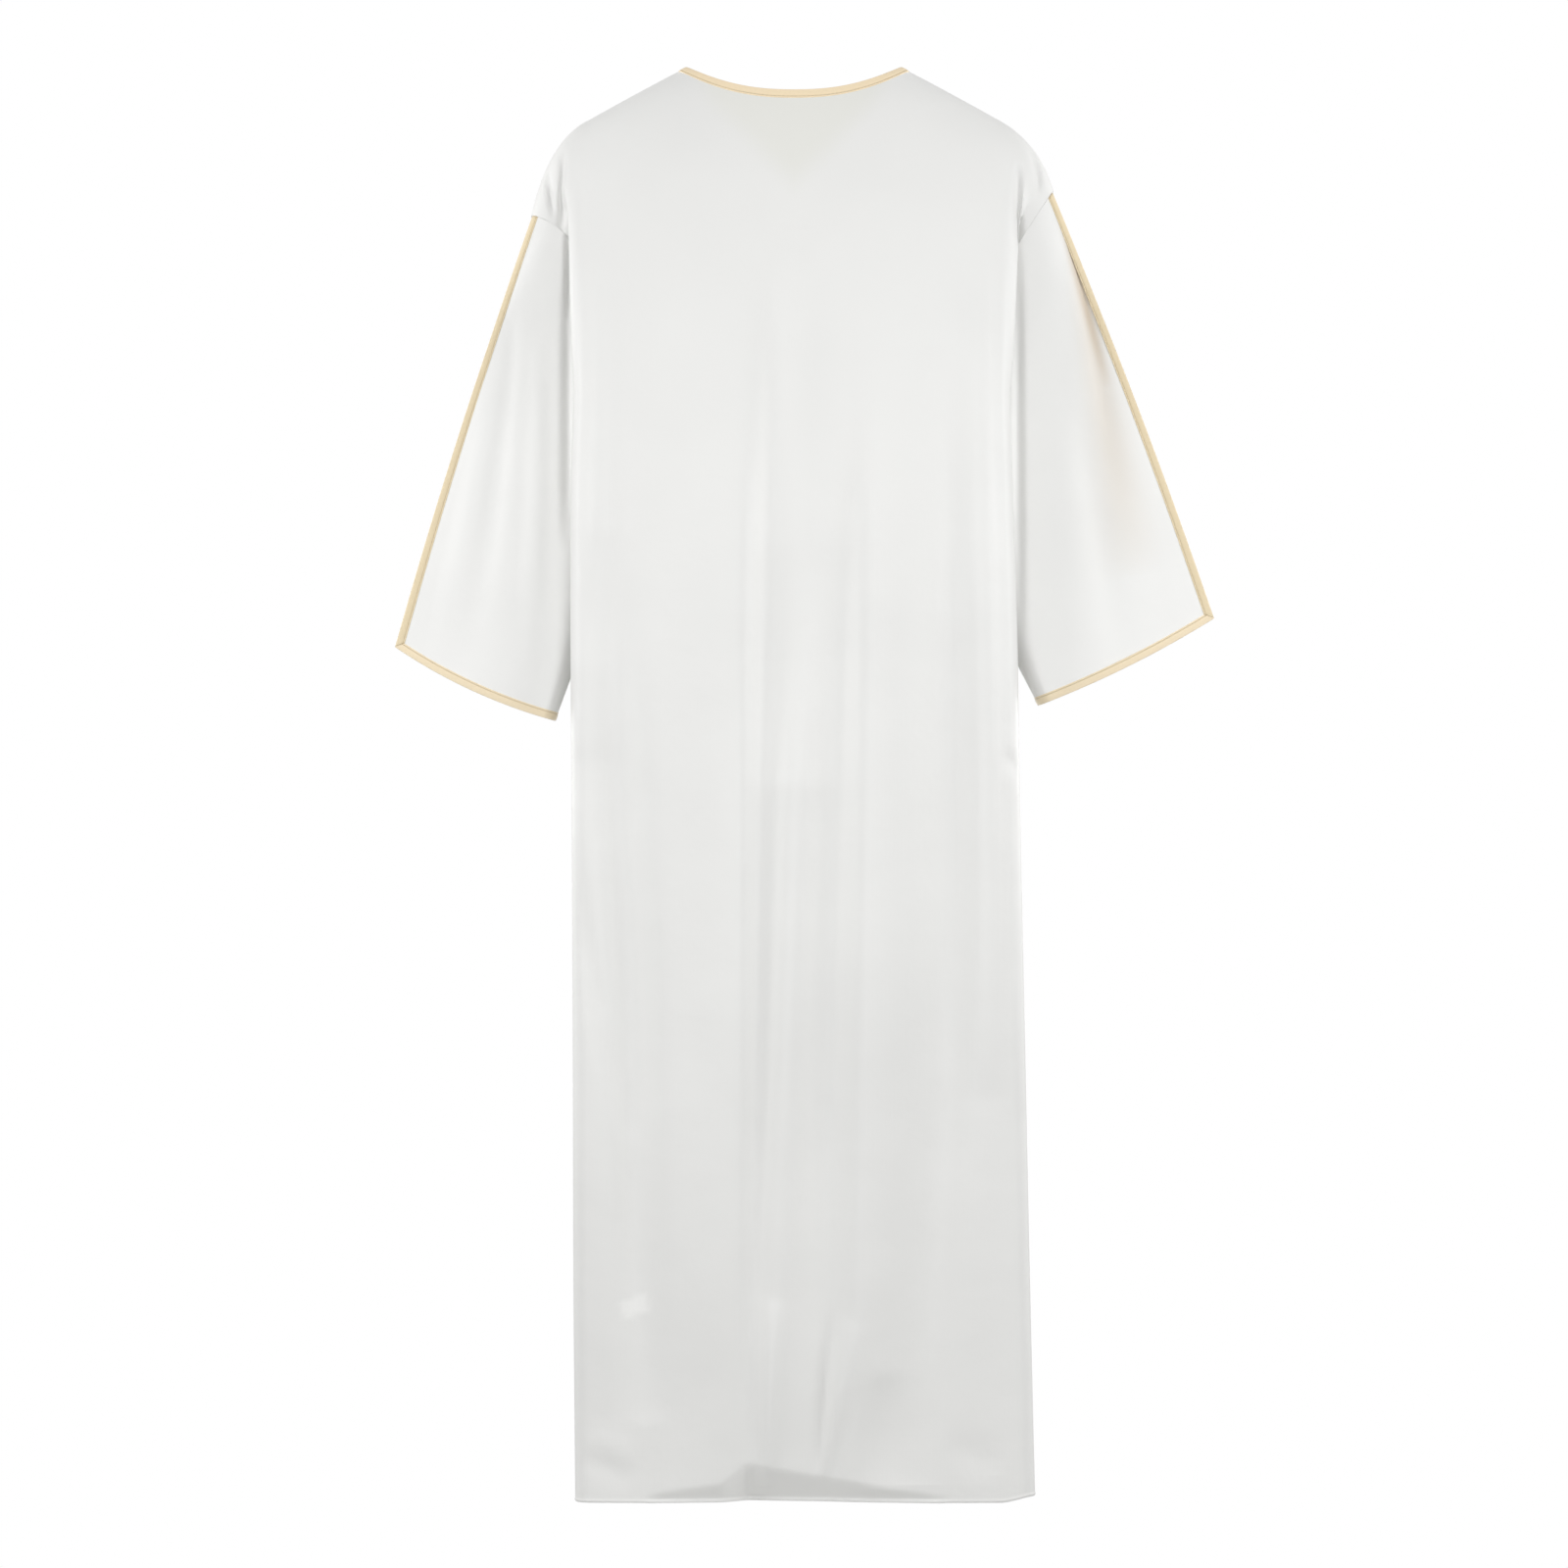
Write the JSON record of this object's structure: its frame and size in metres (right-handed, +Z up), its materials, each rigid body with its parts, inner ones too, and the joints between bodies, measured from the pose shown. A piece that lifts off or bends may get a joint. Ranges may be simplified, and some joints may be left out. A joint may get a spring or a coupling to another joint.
{
  "type": "thobe robe",
  "caption": "Long straight robe, hung and empty, with a V neck, dropped shoulders, wide sleeves open along the top, and contrast bindings.",
  "frame": {"origin": "the height of the points where the shoulder seams meet the neckline, midway between front and back and between the sides", "axes": "+Z up; the front faces -Y and the back faces +Y; +X is the wearer's left"},
  "size_m": [0.8013, 0.1571, 1.3981],
  "materials": {
    "ivory_satin": "fine satin weave, soft sheen",
    "sand_binding": "satin bias binding, edge stitched",
    "label_tape": "plain woven tape, blank"
  },
  "bodies": {
    "root": {"back_panel": "ivory_satin", "front_panel": "ivory_satin", "left_sleeve_back": "ivory_satin", "left_sleeve_front": "ivory_satin", "right_sleeve_back": "ivory_satin", "right_sleeve_front": "ivory_satin", "back_neck_binding": "sand_binding", "front_neck_binding": "sand_binding", "left_sleeve_binding_back": "sand_binding", "left_sleeve_binding_front": "sand_binding", "right_sleeve_binding_back": "sand_binding", "right_sleeve_binding_front": "sand_binding", "care_label": "label_tape"}
  },
  "joints": []
}
